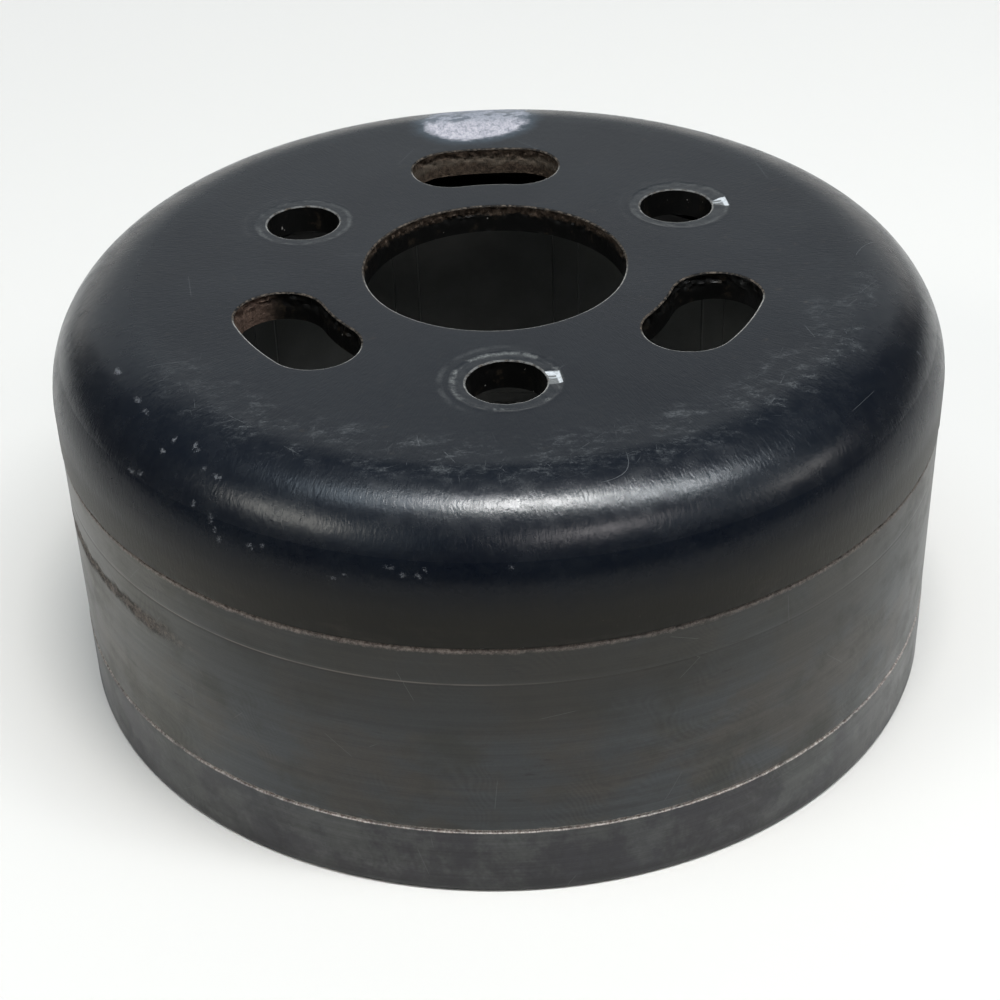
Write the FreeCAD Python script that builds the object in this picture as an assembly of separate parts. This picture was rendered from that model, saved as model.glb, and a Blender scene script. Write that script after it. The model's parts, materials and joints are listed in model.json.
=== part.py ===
"""Outer-rotor flywheel of a small engine: a pressed steel cup that carries a ring of magnets.

The cup stands on its open rim. Z is the spin axis, z = 0 is the rim's edge and the closed face
is on top. Lengths are millimetres and angles are degrees.
"""

import FreeCAD
import Part

import math
import os

# Cup, pressed from thick sheet and turned on the outside
OUTER_RADIUS = 60.0
HEIGHT = 56.2
SHEET = 4.0
CORNER_RADIUS = 12.5
RIM_CHAMFER = 0.5

# The turned band round the outside, with a fine tool groove at each edge and one inside it
BAND_DEPTH = 0.1
BAND_LOW = 10.1
BAND_HIGH = 38.5
GROOVE_WIDTH = 0.4
GROOVE_DEPTH = 0.15
FINE_GROOVE_Z = 33.2
FINE_GROOVE_WIDTH = 0.24
FINE_GROOVE_DEPTH = 0.08

# Openings in the closed face
CENTRE_HOLE_RADIUS = 17.5
BOLT_COUNT = 3
BOLT_CIRCLE_RADIUS = 30.0
BOLT_HOLE_RADIUS = 5.0
FIRST_BOLT_ANGLE = 30.0
SLOT_CIRCLE_RADIUS = 30.3
SLOT_WIDTH = 11.8
SLOT_LENGTH = 21.2
FIRST_SLOT_ANGLE = 90.0

# Machined seat for the magnet ring, inside the wall
BORE_RADIUS = 56.5
BORE_TOP = 42.0
RING_CLEARANCE = 0.1

# Magnet ring, from the inner ledge down to the retaining ring
MAGNET_COUNT = 12
MAGNET_SPAN = 25.5
MAGNET_INNER_RADIUS = 49.0
MAGNET_HEIGHT = 32.0
MAGNET_EDGE = 0.25
BOND_THICKNESS = 0.3
BOND_MARGIN = 1.0
SPACER_THICKNESS = 2.0
CAGE_END = 2.0
CAGE_RECESS = 0.2
CAGE_PLAY = 0.03

# Snap ring in a groove near the rim
SNAP_GROOVE_DEPTH = 1.2
SNAP_THICKNESS = 1.5
SNAP_WIDTH = 3.2
SNAP_PLAY = 0.1
SNAP_GAP_ANGLE = 14.0
SNAP_GAP_CENTRE = 90.0

# Worked out from the above
WALL_INNER_RADIUS = OUTER_RADIUS - SHEET
FLOOR_Z = HEIGHT - SHEET
BAND_RADIUS = OUTER_RADIUS - BAND_DEPTH
SPACER_Z = BORE_TOP - SPACER_THICKNESS
MAGNET_TOP = SPACER_Z - CAGE_END
MAGNET_LOW = MAGNET_TOP - MAGNET_HEIGHT
CAGE_LOW = MAGNET_LOW - CAGE_END
MAGNET_OUTER_RADIUS = BORE_RADIUS - BOND_THICKNESS
RING_OUTER_RADIUS = BORE_RADIUS - RING_CLEARANCE
CAGE_INNER_RADIUS = MAGNET_INNER_RADIUS + CAGE_RECESS
SNAP_GROOVE_RADIUS = BORE_RADIUS + SNAP_GROOVE_DEPTH
SNAP_TOP = CAGE_LOW - SNAP_PLAY
SNAP_LOW = SNAP_TOP - SNAP_THICKNESS
MAGNET_PITCH = 360.0 / MAGNET_COUNT

ORIGIN = FreeCAD.Vector(0, 0, 0)
Z_AXIS = FreeCAD.Vector(0, 0, 1)


def at(radius, z):
    """A point of a turned profile, in the XZ plane."""
    return FreeCAD.Vector(radius, 0, z)


def polar(radius, angle, z=0.0):
    """A point at an angle about the spin axis."""
    turn = math.radians(angle)
    return FreeCAD.Vector(radius * math.cos(turn), radius * math.sin(turn), z)


def line(start, end):
    return Part.LineSegment(start, end).toShape()


def chain(points):
    """Straight edges from each point to the next."""
    return [line(a, b) for a, b in zip(points, points[1:])]


def corner(radius, centre_radius, centre_z):
    """The quarter circle from a wall up to the closed face."""
    half = math.radians(45)
    middle = at(centre_radius + radius * math.cos(half), centre_z + radius * math.sin(half))
    start = at(centre_radius + radius, centre_z)
    end = at(centre_radius, centre_z + radius)
    return Part.Arc(start, middle, end).toShape()


def revolved(edges):
    face = Part.Face(Part.Wire(Part.__sortEdges__(edges)))
    return face.revolve(ORIGIN, Z_AXIS, 360)


def ring(inner, outer, low, high):
    """A plain flat ring about the spin axis."""
    height = high - low
    solid = Part.makeCylinder(outer, height, at(0, low), Z_AXIS)
    return solid.cut(Part.makeCylinder(inner, height, at(0, low), Z_AXIS))


def sector(inner, outer, low, high, span, centre):
    """A piece of a ring that covers an angle, as one face pushed up."""
    first, last = centre - span / 2, centre + span / 2
    outside = Part.Arc(polar(outer, first, low), polar(outer, centre, low), polar(outer, last, low))
    inside = Part.Arc(polar(inner, last, low), polar(inner, centre, low), polar(inner, first, low))
    edges = [
        outside.toShape(),
        line(polar(outer, last, low), polar(inner, last, low)),
        inside.toShape(),
        line(polar(inner, first, low), polar(outer, first, low)),
    ]
    return Part.Face(Part.Wire(edges)).extrude(FreeCAD.Vector(0, 0, high - low))


def groove(z, width, depth, surface):
    """The three points of a V groove in the outside wall, from the lower edge up."""
    return [at(surface, z - width / 2), at(surface - depth, z), at(surface, z + width / 2)]


def outer_wall():
    """The outside of the cup, from the rim up to the corner."""
    edge_groove = [
        at(OUTER_RADIUS, BAND_LOW - GROOVE_WIDTH / 2),
        at(BAND_RADIUS - GROOVE_DEPTH, BAND_LOW),
        at(BAND_RADIUS, BAND_LOW + GROOVE_WIDTH / 2),
    ]
    top_groove = [
        at(BAND_RADIUS, BAND_HIGH - GROOVE_WIDTH / 2),
        at(BAND_RADIUS - GROOVE_DEPTH, BAND_HIGH),
        at(OUTER_RADIUS, BAND_HIGH + GROOVE_WIDTH / 2),
    ]
    fine_groove = groove(FINE_GROOVE_Z, FINE_GROOVE_WIDTH, FINE_GROOVE_DEPTH, BAND_RADIUS)
    rim = [at(OUTER_RADIUS - RIM_CHAMFER, 0), at(OUTER_RADIUS, RIM_CHAMFER)]
    return rim + edge_groove + fine_groove + top_groove + [at(OUTER_RADIUS, HEIGHT - CORNER_RADIUS)]


def inner_wall():
    """The inside of the cup, from the inner corner down to the rim."""
    return [
        at(WALL_INNER_RADIUS, HEIGHT - CORNER_RADIUS),
        at(WALL_INNER_RADIUS, BORE_TOP),
        at(BORE_RADIUS, BORE_TOP),
        at(BORE_RADIUS, CAGE_LOW),
        at(SNAP_GROOVE_RADIUS, CAGE_LOW),
        at(SNAP_GROOVE_RADIUS, SNAP_LOW - SNAP_PLAY),
        at(BORE_RADIUS, SNAP_LOW - SNAP_PLAY),
        at(BORE_RADIUS, RIM_CHAMFER),
        at(BORE_RADIUS + RIM_CHAMFER, 0),
        at(OUTER_RADIUS - RIM_CHAMFER, 0),
    ]


def cup_shell():
    """The pressed cup with its centre hole and no other opening."""
    centre_radius = OUTER_RADIUS - CORNER_RADIUS
    centre_z = HEIGHT - CORNER_RADIUS
    face = [
        at(centre_radius, HEIGHT),
        at(CENTRE_HOLE_RADIUS, HEIGHT),
        at(CENTRE_HOLE_RADIUS, FLOOR_Z),
        at(centre_radius, FLOOR_Z),
    ]
    edges = chain(outer_wall())
    edges.append(corner(CORNER_RADIUS, centre_radius, centre_z))
    edges += chain(face)
    edges.append(corner(CORNER_RADIUS - SHEET, centre_radius, centre_z))
    edges += chain(inner_wall())
    return revolved(edges)


def bolt_hole(angle):
    place = polar(BOLT_CIRCLE_RADIUS, angle, FLOOR_Z - SHEET)
    return Part.makeCylinder(BOLT_HOLE_RADIUS, 3 * SHEET, place, Z_AXIS)


def slot_cutter(angle):
    """A kidney slot: a curved middle along the slot circle with a round end each way."""
    half_width = SLOT_WIDTH / 2
    half_chord = SLOT_LENGTH / 2 - half_width
    reach = math.degrees(math.asin(half_chord / SLOT_CIRCLE_RADIUS))
    low, high = FLOOR_Z - SHEET, HEIGHT + SHEET
    inner, outer = SLOT_CIRCLE_RADIUS - half_width, SLOT_CIRCLE_RADIUS + half_width
    middle = sector(inner, outer, low, high, 2 * reach, angle)
    ends = [
        Part.makeCylinder(half_width, high - low, polar(SLOT_CIRCLE_RADIUS, angle + side, low), Z_AXIS)
        for side in (-reach, reach)
    ]
    return middle.fuse(ends).removeSplitter()


def flywheel_cup():
    pitch = 360.0 / BOLT_COUNT
    cup = cup_shell()
    for k in range(BOLT_COUNT):
        cup = cup.cut(bolt_hole(FIRST_BOLT_ANGLE + k * pitch))
        cup = cup.cut(slot_cutter(FIRST_SLOT_ANGLE + k * pitch))
    return cup


def magnet(angle):
    """One curved magnet, with its ground edges eased."""
    block = sector(
        MAGNET_INNER_RADIUS, MAGNET_OUTER_RADIUS, MAGNET_LOW, MAGNET_TOP, MAGNET_SPAN, angle
    )
    return block.makeChamfer(MAGNET_EDGE, block.Edges)


def magnet_bond(angle):
    """The film of adhesive between one magnet and the cup, kept in from the magnet's edges."""
    inset = 2 * math.degrees(BOND_MARGIN / MAGNET_OUTER_RADIUS)
    return sector(
        MAGNET_OUTER_RADIUS,
        BORE_RADIUS,
        MAGNET_LOW + BOND_MARGIN,
        MAGNET_TOP - BOND_MARGIN,
        MAGNET_SPAN - inset,
        angle,
    )


def magnet_cage():
    """The moulded ring that spaces the magnets, with one open pocket for each."""
    cage = ring(CAGE_INNER_RADIUS, RING_OUTER_RADIUS, CAGE_LOW, SPACER_Z)
    play = 2 * math.degrees(CAGE_PLAY / MAGNET_INNER_RADIUS)
    for k in range(MAGNET_COUNT):
        pocket = sector(
            CAGE_INNER_RADIUS - 1,
            RING_OUTER_RADIUS + 1,
            MAGNET_LOW,
            MAGNET_TOP,
            MAGNET_SPAN + play,
            k * MAGNET_PITCH,
        )
        cage = cage.cut(pocket)
    return cage


def spacer_ring():
    """The flat ring between the cup's inner ledge and the cage."""
    return ring(CAGE_INNER_RADIUS, RING_OUTER_RADIUS, SPACER_Z, BORE_TOP)


def retaining_ring():
    """An open snap ring, whose gap lets it spring into the groove."""
    outer = SNAP_GROOVE_RADIUS - SNAP_PLAY
    closed = 360.0 - SNAP_GAP_ANGLE
    middle = SNAP_GAP_CENTRE + 180.0
    return sector(outer - SNAP_WIDTH, outer, SNAP_LOW, SNAP_TOP, closed, middle)


def parts():
    """Every node's name and solid."""
    found = {
        "flywheel_cup": flywheel_cup(),
        "spacer_ring": spacer_ring(),
        "magnet_cage": magnet_cage(),
        "retaining_ring": retaining_ring(),
    }
    for k in range(MAGNET_COUNT):
        found[f"magnet_{k + 1:02d}"] = magnet(k * MAGNET_PITCH)
        found[f"magnet_bond_{k + 1:02d}"] = magnet_bond(k * MAGNET_PITCH)
    return found


def main():
    os.makedirs("parts", exist_ok=True)
    for name, shape in parts().items():
        shape.exportStep(f"parts/{name}.step")
        print(name, shape.isValid(), len(shape.Solids), round(shape.Volume, 1), "mm3")


main()
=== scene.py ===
"""Looks of an outer-rotor flywheel: a worn steel cup, painted on top and turned bare round its side.

The cup's mesh is built here in millimetres and scaled to metres at the end. Angles are degrees
about the spin axis, with 0 on +X and -90 on the side that faces the camera.
"""
import json
import math

import bpy
import numpy as np
from mathutils import Matrix, Vector
from mathutils.geometry import delaunay_2d_cdt


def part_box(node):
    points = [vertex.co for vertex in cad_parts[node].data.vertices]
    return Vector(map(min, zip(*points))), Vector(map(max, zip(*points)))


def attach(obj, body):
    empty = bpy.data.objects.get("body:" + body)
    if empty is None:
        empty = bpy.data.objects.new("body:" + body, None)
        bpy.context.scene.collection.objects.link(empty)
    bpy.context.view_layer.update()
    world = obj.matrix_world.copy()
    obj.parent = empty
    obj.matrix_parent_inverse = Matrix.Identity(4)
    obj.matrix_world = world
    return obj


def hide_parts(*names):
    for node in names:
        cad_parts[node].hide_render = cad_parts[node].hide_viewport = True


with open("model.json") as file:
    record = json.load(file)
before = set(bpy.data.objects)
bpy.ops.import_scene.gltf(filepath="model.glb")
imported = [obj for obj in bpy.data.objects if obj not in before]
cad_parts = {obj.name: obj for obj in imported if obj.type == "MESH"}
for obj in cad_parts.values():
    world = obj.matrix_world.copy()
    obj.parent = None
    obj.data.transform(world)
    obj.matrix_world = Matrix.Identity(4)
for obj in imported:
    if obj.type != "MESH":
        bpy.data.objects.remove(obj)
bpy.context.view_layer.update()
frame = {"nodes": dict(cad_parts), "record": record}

MM = 0.001


def mount(name):
    """The dimensions of one of the record's mounts, in millimetres."""
    return next(m["dims"] for m in frame["record"]["mounts"] if m["name"] == name)


# ------------------------ sizes, in millimetres
CUP_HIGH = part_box("flywheel_cup")[1]
OUTER_RADIUS = CUP_HIGH.y / MM
HEIGHT = CUP_HIGH.z / MM
SHEET = mount("centre_hole")["length_mm"]
FLOOR_Z = HEIGHT - SHEET
CORNER = 12.5
PLATE_RADIUS = OUTER_RADIUS - CORNER

CENTRE_RADIUS = mount("centre_hole")["r_mm"]
BOLT_RADIUS = mount("hub_bolts")["hole_r_mm"]
BOLT_CIRCLE = mount("hub_bolts")["pcd_mm"] / 2
BOLT_ANGLES = (30, 150, 270)
SLOT_CIRCLE = 30.3
SLOT_HALF_WIDTH = 5.9
SLOT_REACH = 8.92
SLOT_ANGLES = (90, 210, 330)

BAND_DEPTH = 0.1
BAND_LOW = 10.1
BAND_HIGH = 38.5
FINE_LINE = 33.2
RING_PLAY = 0.1        # between the cup and the rings in it
BORE_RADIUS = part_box("spacer_ring")[1].y / MM + RING_PLAY
BORE_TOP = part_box("spacer_ring")[1].z / MM
CAGE_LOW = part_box("magnet_cage")[0].z / MM
MAGNET_RADIUS = 49.0
MAGNET_LOW, MAGNET_HIGH = (corner.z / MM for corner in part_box("magnet_01"))
SNAP_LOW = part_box("retaining_ring")[0].z / MM - RING_PLAY
SNAP_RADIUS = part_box("retaining_ring")[1].x / MM + RING_PLAY

SKIN = 0.04            # how far the face lies under the CAD face, so that raised lips stay inside it
SEGMENTS = 720         # points round the cup
SHARP_ANGLE = 38       # between faces whose edge stays sharp


# ------------------------ random surfaces
class Waves:
    """Smooth random bumps of about one wavelength, as a sum of plane waves."""

    def __init__(self, seed, wavelength, count=28):
        draw = np.random.RandomState(seed)
        direction = draw.normal(size=(count, 3))
        direction /= np.linalg.norm(direction, axis=1)[:, None]
        pitch = wavelength * draw.uniform(0.65, 1.6, count)
        self.waves = direction * (2 * math.pi / pitch)[:, None]
        self.phase = draw.uniform(0, 2 * math.pi, count)
        self.gain = math.sqrt(2 / count)

    def __call__(self, points):
        return np.cos(points @ self.waves.T + self.phase).sum(axis=1) * self.gain


def rough(points, seed, wavelength, octaves=3):
    """Waves added up over halving wavelengths."""
    return sum(Waves(seed + k, wavelength / 2**k)(points) / 1.6**k for k in range(octaves))


def step(x, low, high):
    """0 below low and 1 above high, smooth between. It falls instead if low is above high."""
    t = np.clip((x - low) / (high - low), 0, 1)
    return t * t * (3 - 2 * t)


def spread(angles, centre, half, soft):
    """1 within half of an angle, fading to 0 over soft."""
    away = np.abs((angles - centre + 180) % 360 - 180)
    return step(away, half + soft, half)


def unit_circle(count):
    """Points in plan, evenly round a circle of radius 1 and starting on +X."""
    turn = np.linspace(0, 2 * math.pi, count, endpoint=False)
    return np.stack([np.cos(turn), np.sin(turn)], axis=1)


def dents(points):
    """Depth of the broad shallow dents in the closed face."""
    return 0.012 * Waves(3, 16)(points)


# ------------------------ holes in the closed face
def polar(radius, angle):
    """A point in plan."""
    turn = math.radians(angle)
    return np.array([radius * math.cos(turn), radius * math.sin(turn)])


class RoundHole:
    """A round opening: points on its edge, their outward normals, and where rings of points go round it."""

    def __init__(self, centre, radius, count, offsets):
        self.centre, self.radius, self.offsets = np.asarray(centre, float), radius, offsets
        self.normal = unit_circle(count)
        self.edge = self.centre + radius * self.normal

    def distance(self, xy):
        return np.linalg.norm(xy - self.centre, axis=1) - self.radius


class KidneySlot:
    """A curved slot with round ends, described as a RoundHole is."""

    def __init__(self, angle, offsets):
        self.angle, self.offsets = angle, offsets
        w, reach = SLOT_HALF_WIDTH, SLOT_REACH
        normals, edge = [], []
        for sign, radius, count in ((1, SLOT_CIRCLE + w, 30), (-1, SLOT_CIRCLE - w, 26)):
            for a in np.linspace(-sign * reach, sign * reach, count, endpoint=False):
                normals.append(sign * polar(1, angle + a))
                edge.append(polar(radius, angle + a))
            start = angle + sign * reach + (0 if sign > 0 else 180)
            for a in np.linspace(0, 180, 46, endpoint=False):
                normals.append(polar(1, start + a))
                edge.append(polar(SLOT_CIRCLE, angle + sign * reach) + w * normals[-1])
        self.normal, self.edge = np.array(normals), np.array(edge)

    def distance(self, xy):
        radius = np.linalg.norm(xy, axis=1)
        turn = np.degrees(np.arctan2(xy[:, 1], xy[:, 0])) - self.angle
        turn = np.clip((turn + 180) % 360 - 180, -SLOT_REACH, SLOT_REACH)
        near = np.radians(turn + self.angle)
        spine = SLOT_CIRCLE * np.stack([np.cos(near), np.sin(near)], axis=1)
        inside = np.abs(turn) < SLOT_REACH
        across = np.where(inside, np.abs(radius - SLOT_CIRCLE), np.linalg.norm(xy - spine, axis=1))
        return across - SLOT_HALF_WIDTH


EDGE_WIDTH = 0.24      # how wide the worn rounding of each opening is
EDGE_DROP = 0.14       # how far it drops
EDGE_RINGS = (0, 0.08, 0.16, EDGE_WIDTH, 0.4, 0.7, 1.2)
SEAT_RINGS = EDGE_RINGS[:5] + (
    0.6, 0.8, 1.0, 1.2, 1.35, 1.5, 1.65, 1.8, 2.0, 2.25, 2.5, 2.9, 3.4, 3.9, 4.3, 4.7,
)
CENTRE = RoundHole((0, 0), CENTRE_RADIUS, 300, EDGE_RINGS)
BOLTS = [RoundHole(polar(BOLT_CIRCLE, a), BOLT_RADIUS, 120, SEAT_RINGS) for a in BOLT_ANGLES]
SLOTS = [KidneySlot(a, EDGE_RINGS) for a in SLOT_ANGLES]
HOLES = [CENTRE] + BOLTS + SLOTS

# Each bolt's washer mark: its depth, its radius, its middle from the hole's, how pale it is, and how
# clear its rings are
SEATS = {
    30: (0.06, 7.0, (0.5, 0.2), 0.13, 0.45),
    150: (0.03, 6.8, (0.1, 0.1), 0.07, 0.45),
    270: (0.07, 7.0, (0.0, 0.1), 0.07, 1.0),
}
# The bite of a split washer's end: its direction, its length, and half its width at each end
BITES = {30: (5, 2.3, 0.5, 1.5), 270: (6, 1.8, 1.7, 1.55)}
SCUFF_RADIUS = 8.2     # of the faint outer ring round each washer mark
DAB = (-0.7, 46.6)     # middle of the dab of marking paint


def plate_height(xy):
    """Height of the closed face at points in plan, below the CAD face by SKIN and by its marks."""
    flat = np.column_stack([xy, np.full(len(xy), HEIGHT)])
    z = HEIGHT - SKIN - dents(flat)
    for hole in HOLES:
        away = hole.distance(xy)
        z -= EDGE_DROP * np.clip(1 - away / EDGE_WIDTH, 0, 1) ** 2
        z -= 0.015 * np.clip(1 - away / 0.7, 0, 1) ** 2
    for angle, hole in zip(BOLT_ANGLES, BOLTS):
        near = hole.distance(xy) < 6
        deep, seat_radius, shift = SEATS[angle][:3]
        ragged = rough(flat[near], 40 + angle, 2.2, 2)
        local = xy[near] - hole.centre
        d = np.linalg.norm(local - shift, axis=1) + 0.06 * ragged
        depth = deep * (0.75 + 0.25 * ragged)
        mark = -depth * step(d, seat_radius + 0.05, seat_radius - 0.25)
        mark += 0.4 * depth * np.exp(-(((d - seat_radius - 0.15) / 0.16) ** 2))
        mark -= 0.3 * depth * np.exp(-(((d - seat_radius + 0.8) / 0.15) ** 2))
        mark -= 0.15 * depth * np.exp(-(((d - SCUFF_RADIUS) / 0.25) ** 2))
        if angle in BITES:
            turn, reach, first, last = BITES[angle]
            ahead = polar(1, turn)
            along = (local @ ahead - hole.radius) / reach
            across = local @ np.array([-ahead[1], ahead[0]]) + 0.1 * ragged
            half = first + (last - first) * np.clip(along, 0, 1)
            bite = step(np.abs(across), half, half * 0.75) * step(along, 1, 0.88) * step(along, -0.5, -0.2)
            mark -= bite * (0.13 + 0.1 * np.cos(across * 3.4 + 0.8) + 0.03 * ragged)
        z[near] += mark
    return np.minimum(z, HEIGHT)


def plate_mesh():
    """Points in plan and triangles of the closed face, then the rim and each hole's edge as index lists."""
    points, loops = [], []

    def add(ring):
        start = sum(len(p) for p in points)
        points.append(ring)
        return list(range(start, start + len(ring)))

    circle = unit_circle(SEGMENTS)
    loops.append(add(circle * PLATE_RADIUS))
    for inset, stride in ((0.5, 1), (1.2, 2), (2.1, 2)):
        add(circle[::stride] * (PLATE_RADIUS - inset))
    for hole in HOLES:
        loops.append(add(hole.edge))
        for offset in hole.offsets[1:]:
            add(hole.edge + hole.normal * offset)
    pitch = 0.95
    count = int(PLATE_RADIUS / pitch) + 2
    i, j = np.meshgrid(range(-count, count + 1), range(-count, count + 1))
    grid = np.stack([(i + 0.5 * (j % 2)) * pitch, j * pitch * math.sqrt(0.75)], axis=-1).reshape(-1, 2)
    keep = np.linalg.norm(grid, axis=1) < PLATE_RADIUS - 2.7
    for hole in HOLES:
        keep &= hole.distance(grid) > hole.offsets[-1] + 0.5
    add(grid[keep])

    points = np.concatenate(points)
    edges = [(a, b) for ring in loops for a, b in zip(ring, ring[1:] + ring[:1])]
    found, _, faces, source, _, _ = delaunay_2d_cdt([Vector(p) for p in points], edges, [], 0, 1e-6)
    place = {old: new for new, olds in enumerate(source) for old in olds}
    xy = np.array([tuple(p) for p in found])
    faces = np.array([tuple(f) for f in faces])
    middle = xy[faces].mean(axis=1)
    solid = np.linalg.norm(middle, axis=1) < PLATE_RADIUS
    for hole in HOLES:
        solid &= hole.distance(middle) > -1e-4
    a, b, c = (xy[faces[:, k]] for k in range(3))
    turned = (b[:, 0] - a[:, 0]) * (c[:, 1] - a[:, 1]) - (b[:, 1] - a[:, 1]) * (c[:, 0] - a[:, 0])
    solid &= np.abs(turned) > 1e-7
    faces = np.where((turned > 0)[:, None], faces, faces[:, ::-1])[solid]
    loops = [[place[k] for k in ring] for ring in loops]
    return xy, faces, loops


# ------------------------ the turned and pressed wall
def run(radius_a, z_a, radius_b, z_b, pitch):
    """Rows along a straight stretch of the profile, without its last point."""
    count = max(1, round(math.hypot(radius_b - radius_a, z_b - z_a) / pitch))
    t = np.arange(count) / count
    return [(radius_a + (radius_b - radius_a) * k, z_a + (z_b - z_a) * k) for k in t]


def bend(radius, first, last, count):
    """Rows round the corner between the closed face and the wall, without the last point."""
    turn = np.radians(first + (last - first) * np.arange(count) / count)
    middle = HEIGHT - CORNER
    return [(PLATE_RADIUS + radius * math.cos(a), middle + radius * math.sin(a)) for a in turn]


def dip(z, width, depth, above, below):
    """Rows across a tool groove, from its upper edge down."""
    low = min(above, below)
    return [(above, z + width / 2), (low - depth, z + width * 0.12), (low - depth, z - width * 0.12),
            (below, z - width / 2)]


def profile():
    """The cup's outside from the closed face to the rim, and how many rows of it are outside."""
    wall, band = OUTER_RADIUS, OUTER_RADIUS - BAND_DEPTH
    rows = bend(CORNER, 90, 0, 56)
    rows += run(wall, HEIGHT - CORNER, wall, BAND_HIGH + 0.2, 0.45)
    rows += dip(BAND_HIGH, 0.4, 0.15, wall, band)
    rows += run(band, BAND_HIGH - 0.35, band, FINE_LINE + 0.2, 0.45)
    rows += dip(FINE_LINE, 0.24, 0.03, band, band)
    rows += run(band, FINE_LINE - 0.3, band, BAND_LOW + 0.3, 0.4)
    rows += dip(BAND_LOW, 0.4, 0.15, band, wall)
    rows += run(wall, BAND_LOW - 0.4, wall, 0.5, 0.5)
    rows += [(wall, 0.5), (wall - 0.12, 0.22), (wall - 0.32, 0.06), (wall - 0.6, 0)]
    outside = len(rows)
    bore = BORE_RADIUS
    rows += [(bore + 0.5, 0), (bore, 0.5), (bore, SNAP_LOW), (SNAP_RADIUS, SNAP_LOW)]
    rows += [(SNAP_RADIUS, CAGE_LOW), (bore, CAGE_LOW)]
    rows += run(bore, CAGE_LOW + 2, bore, BORE_TOP, 4)
    rows += [(bore, BORE_TOP), (OUTER_RADIUS - SHEET, BORE_TOP)]
    rows += bend(CORNER - SHEET, 0, 90, 14)
    return np.array(rows), outside


# A pitted scar along the left of the bare band: where it is, half its length in degrees, half its height
SCAR_ANGLE, SCAR_Z, SCAR_HALF, SCAR_HEIGHT = -152, 28.9, 12, 1.1


def wall_marks(points, angle):
    """How far the outside is pressed in, in millimetres, at points of its plain shape."""
    z = points[:, 2]
    stretched = points * np.array([1, 1, 0.6])
    sunk = 0.02 + 0.008 * Waves(11, 22)(stretched)
    shoulder = step(z, BAND_HIGH + 2, BAND_HIGH + 6)
    sunk += 0.0016 * shoulder * rough(points, 12, 2.6, 2)
    for level, width in ((BAND_HIGH, 0.5), (BAND_LOW, 0.45)):
        near = np.exp(-(((z - level) / width) ** 2))
        sunk += 0.05 * near * np.clip(rough(points, 20, 1.6, 2), 0, 2)
    wander = SCAR_Z + 0.25 * Waves(31, 9)(points)
    scar = spread(angle, SCAR_ANGLE, SCAR_HALF, 5) * np.exp(-(((z - wander) / SCAR_HEIGHT) ** 2))
    sunk += 0.1 * scar * (rough(points, 30, 1.3, 3) + 0.1)
    sunk -= 0.03 * spread(angle, 20, 80, 15) * np.exp(-(((z - FINE_LINE) / 0.12) ** 2))
    return np.clip(sunk, 0, 0.6)


def wall_points():
    """Rows of points round the cup, from just outside the closed face's rim to just inside it."""
    rows, outside = profile()
    circle = unit_circle(SEGMENTS)
    angle = np.linspace(0, 360, SEGMENTS, endpoint=False)
    along = np.gradient(rows, axis=0)
    normal = np.stack([-along[:, 1], along[:, 0]], axis=1)
    normal /= np.linalg.norm(normal, axis=1)[:, None]
    found = []
    for k in range(1, len(rows)):
        (radius, z), (n_r, n_z) = rows[k], normal[k]
        points = np.column_stack([radius * circle, np.full(SEGMENTS, z)])
        if k < outside:
            sunk = wall_marks(points, angle) * step(z, 0, 1.5)
            blend = step(k, 0, 10)
            sunk = blend * sunk + (1 - blend) * (SKIN + dents(points))
            points[:, :2] -= n_r * sunk[:, None] * circle
            points[:, 2] -= n_z * sunk
        found.append(points)
    return found, outside - 1


# ------------------------ the cup's mesh
PAINT, STEEL, CUT, INSIDE, EDGE, THIN = range(6)
THIN_Z = 49.5          # where the shoulder's thick paint gives way to thin paint

# How a hole's wall goes down from its upper edge: depth, how rough it is, and how far it flares
CUT_LEVELS = (
    (0.12, 0.03, 0.0), (0.28, 0.1, 0.05), (0.5, 0.16, 0.12), (0.8, 0.18, 0.15), (1.1, 0.17, 0.14),
    (1.4, 0.13, 0.1), (1.7, 0.08, 0.05), (2.0, 0.03, 0.02), (2.6, 0.02, 0.0), (3.2, 0.02, 0.0),
    (3.75, 0.02, 0.0),
)


class Solid:
    """Vertices and faces collected for one mesh."""

    def __init__(self):
        self.points, self.faces, self.slots, self.count = [], [], [], 0

    def add(self, points):
        start = self.count
        self.points.append(np.asarray(points, float))
        self.count += len(points)
        return np.arange(start, self.count)

    def skin(self, faces, slot):
        self.faces.extend(map(tuple, np.asarray(faces).tolist()))
        self.slots.extend([slot] * len(faces))

    def band(self, first, second, slot):
        """Quads between two closed rings, facing outward if first is the upper one of an outside wall."""
        a, b = np.roll(first, -1), np.roll(second, -1)
        self.skin(np.stack([first, second, b, a], axis=1), slot)

    def build(self, name):
        mesh = bpy.data.meshes.new(name)
        mesh.from_pydata((np.concatenate(self.points) * MM).tolist(), [], self.faces)
        mesh.polygons.foreach_set("material_index", self.slots)
        mesh.update()
        piece = bpy.data.objects.new(name, mesh)
        bpy.context.scene.collection.objects.link(piece)
        return piece


def outside_slot(z):
    """The material of the cup's outside at a height."""
    if z > THIN_Z:
        return PAINT
    return THIN if z > BAND_HIGH - 0.1 else STEEL


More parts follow.
